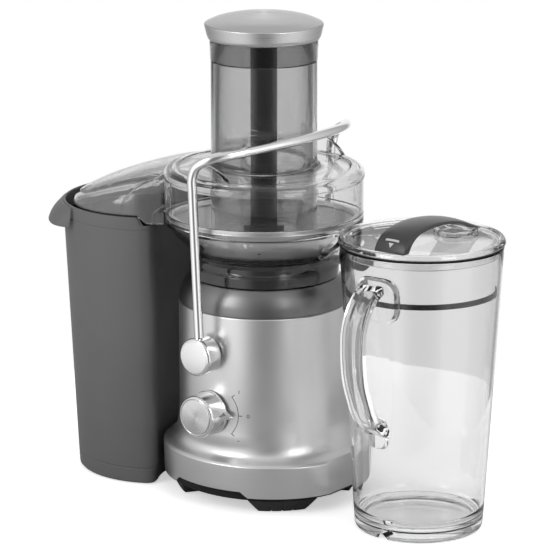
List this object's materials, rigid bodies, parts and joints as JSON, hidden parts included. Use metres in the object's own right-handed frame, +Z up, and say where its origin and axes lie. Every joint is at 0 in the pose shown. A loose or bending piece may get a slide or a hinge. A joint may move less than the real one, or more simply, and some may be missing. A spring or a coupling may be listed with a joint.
{
  "type": "centrifugal juicer",
  "caption": "Upright juicer with chromed locking arm, clear cover and feed chute, side pulp bin and lidded clear juice jug.",
  "frame": {"origin": "centre of the object's box, on the surface it stands on", "axes": "+Z up; +X from the pulp bin to the juice jug; the dial faces -Y"},
  "size_m": [0.473, 0.2168, 0.4485],
  "materials": {
    "satin_silver": "satin, fine sprayed metal look",
    "dark_silver": "satin, darker shoulder band",
    "gloss_black": "polished",
    "black_plastic": "fine moulded texture",
    "foot_rubber": "matte",
    "bare_steel": "machined",
    "copper": "wound wire and bars",
    "circuit_board": "coated board",
    "chrome": "polished",
    "spun_metal": "circular spun grain",
    "clear_plastic": "clear, polished",
    "smoked_plastic": "smoked clear, polished",
    "brushed_cap": "circular brushed grain",
    "basket_steel": "fine mesh, stainless",
    "charcoal_plastic": "fine moulded texture",
    "lid_charcoal": "satin moulded"
  },
  "bodies": {
    "base": {"base_shell": "satin_silver", "shoulder_ring": "dark_silver", "neck_collar": "gloss_black", "base_plate": "black_plastic", "foot_1": "foot_rubber", "foot_2": "foot_rubber", "foot_3": "foot_rubber", "foot_4": "foot_rubber", "base_screw_1": "bare_steel", "base_screw_2": "bare_steel", "base_screw_3": "bare_steel", "base_screw_4": "bare_steel", "bowl_surround": "clear_plastic", "bowl_cover": "clear_plastic", "outlet_dome": "clear_plastic", "feed_chute": "clear_plastic", "lower_bracket": "bare_steel", "lower_bearing": "bare_steel", "stator_core": "bare_steel", "winding_lower": "copper", "winding_upper": "copper", "upper_bracket": "bare_steel", "upper_bearing": "bare_steel", "shaft_seal": "foot_rubber", "brush_left": "black_plastic", "brush_right": "black_plastic", "control_board": "circuit_board", "speed_switch": "black_plastic", "safety_switch": "black_plastic", "cord_gland": "foot_rubber", "pivot_bush_front": "black_plastic", "pivot_bush_rear": "black_plastic"},
    "dial": {"dial_knob": "chrome", "dial_face": "spun_metal", "dial_shaft": "bare_steel"},
    "arm": {"arm_bail": "chrome", "arm_knob_front": "chrome", "arm_knob_rear": "chrome"},
    "rotor": {"motor_shaft": "bare_steel", "armature_core": "bare_steel", "commutator": "copper", "cooling_fan": "black_plastic", "drive_coupling": "black_plastic", "basket_hub": "black_plastic", "filter_basket": "basket_steel", "basket_rim": "basket_steel", "cutting_disc": "basket_steel"},
    "pusher": {"pusher_tube": "smoked_plastic", "pusher_spine": "black_plastic", "pusher_collar": "smoked_plastic", "pusher_cap": "brushed_cap"},
    "bin": {"pulp_bin": "charcoal_plastic"},
    "jug": {"jug_body": "clear_plastic", "jug_handle": "clear_plastic", "inlet_collar": "gloss_black", "separator_seal": "foot_rubber"},
    "lid": {"jug_lid": "clear_plastic", "lid_handle": "lid_charcoal", "lid_boss": "clear_plastic"}
  },
  "joints": [
    {"name": "dial_turn", "type": "hinge", "parent": "base", "child": "dial", "pos_m": [-0.0155, 0, 0.0905], "axis": [0, -1, 0], "range_deg": [-40, 40]},
    {"name": "arm_swing", "type": "hinge", "parent": "base", "child": "arm", "pos_m": [-0.0155, 0, 0.147], "axis": [0, 1, 0], "range_deg": [0, 30]},
    {"name": "basket_spin", "type": "hinge", "parent": "base", "child": "rotor", "pos_m": [-0.0155, 0, 0], "axis": [0, 0, 1], "continuous": true},
    {"name": "pusher_lift", "type": "slide", "parent": "base", "child": "pusher", "axis": [0, 0, 1], "range_m": [0, 0.15]},
    {"name": "bin_pull", "type": "slide", "parent": "base", "child": "bin", "axis": [-1, 0, 0], "range_m": [0, 0.12]},
    {"name": "jug_pull", "type": "slide", "parent": "base", "child": "jug", "axis": [1, 0, 0], "range_m": [0, 0.12]},
    {"name": "lid_lift", "type": "slide", "parent": "jug", "child": "lid", "axis": [0, 0, 1], "range_m": [0, 0.05]}
  ]
}
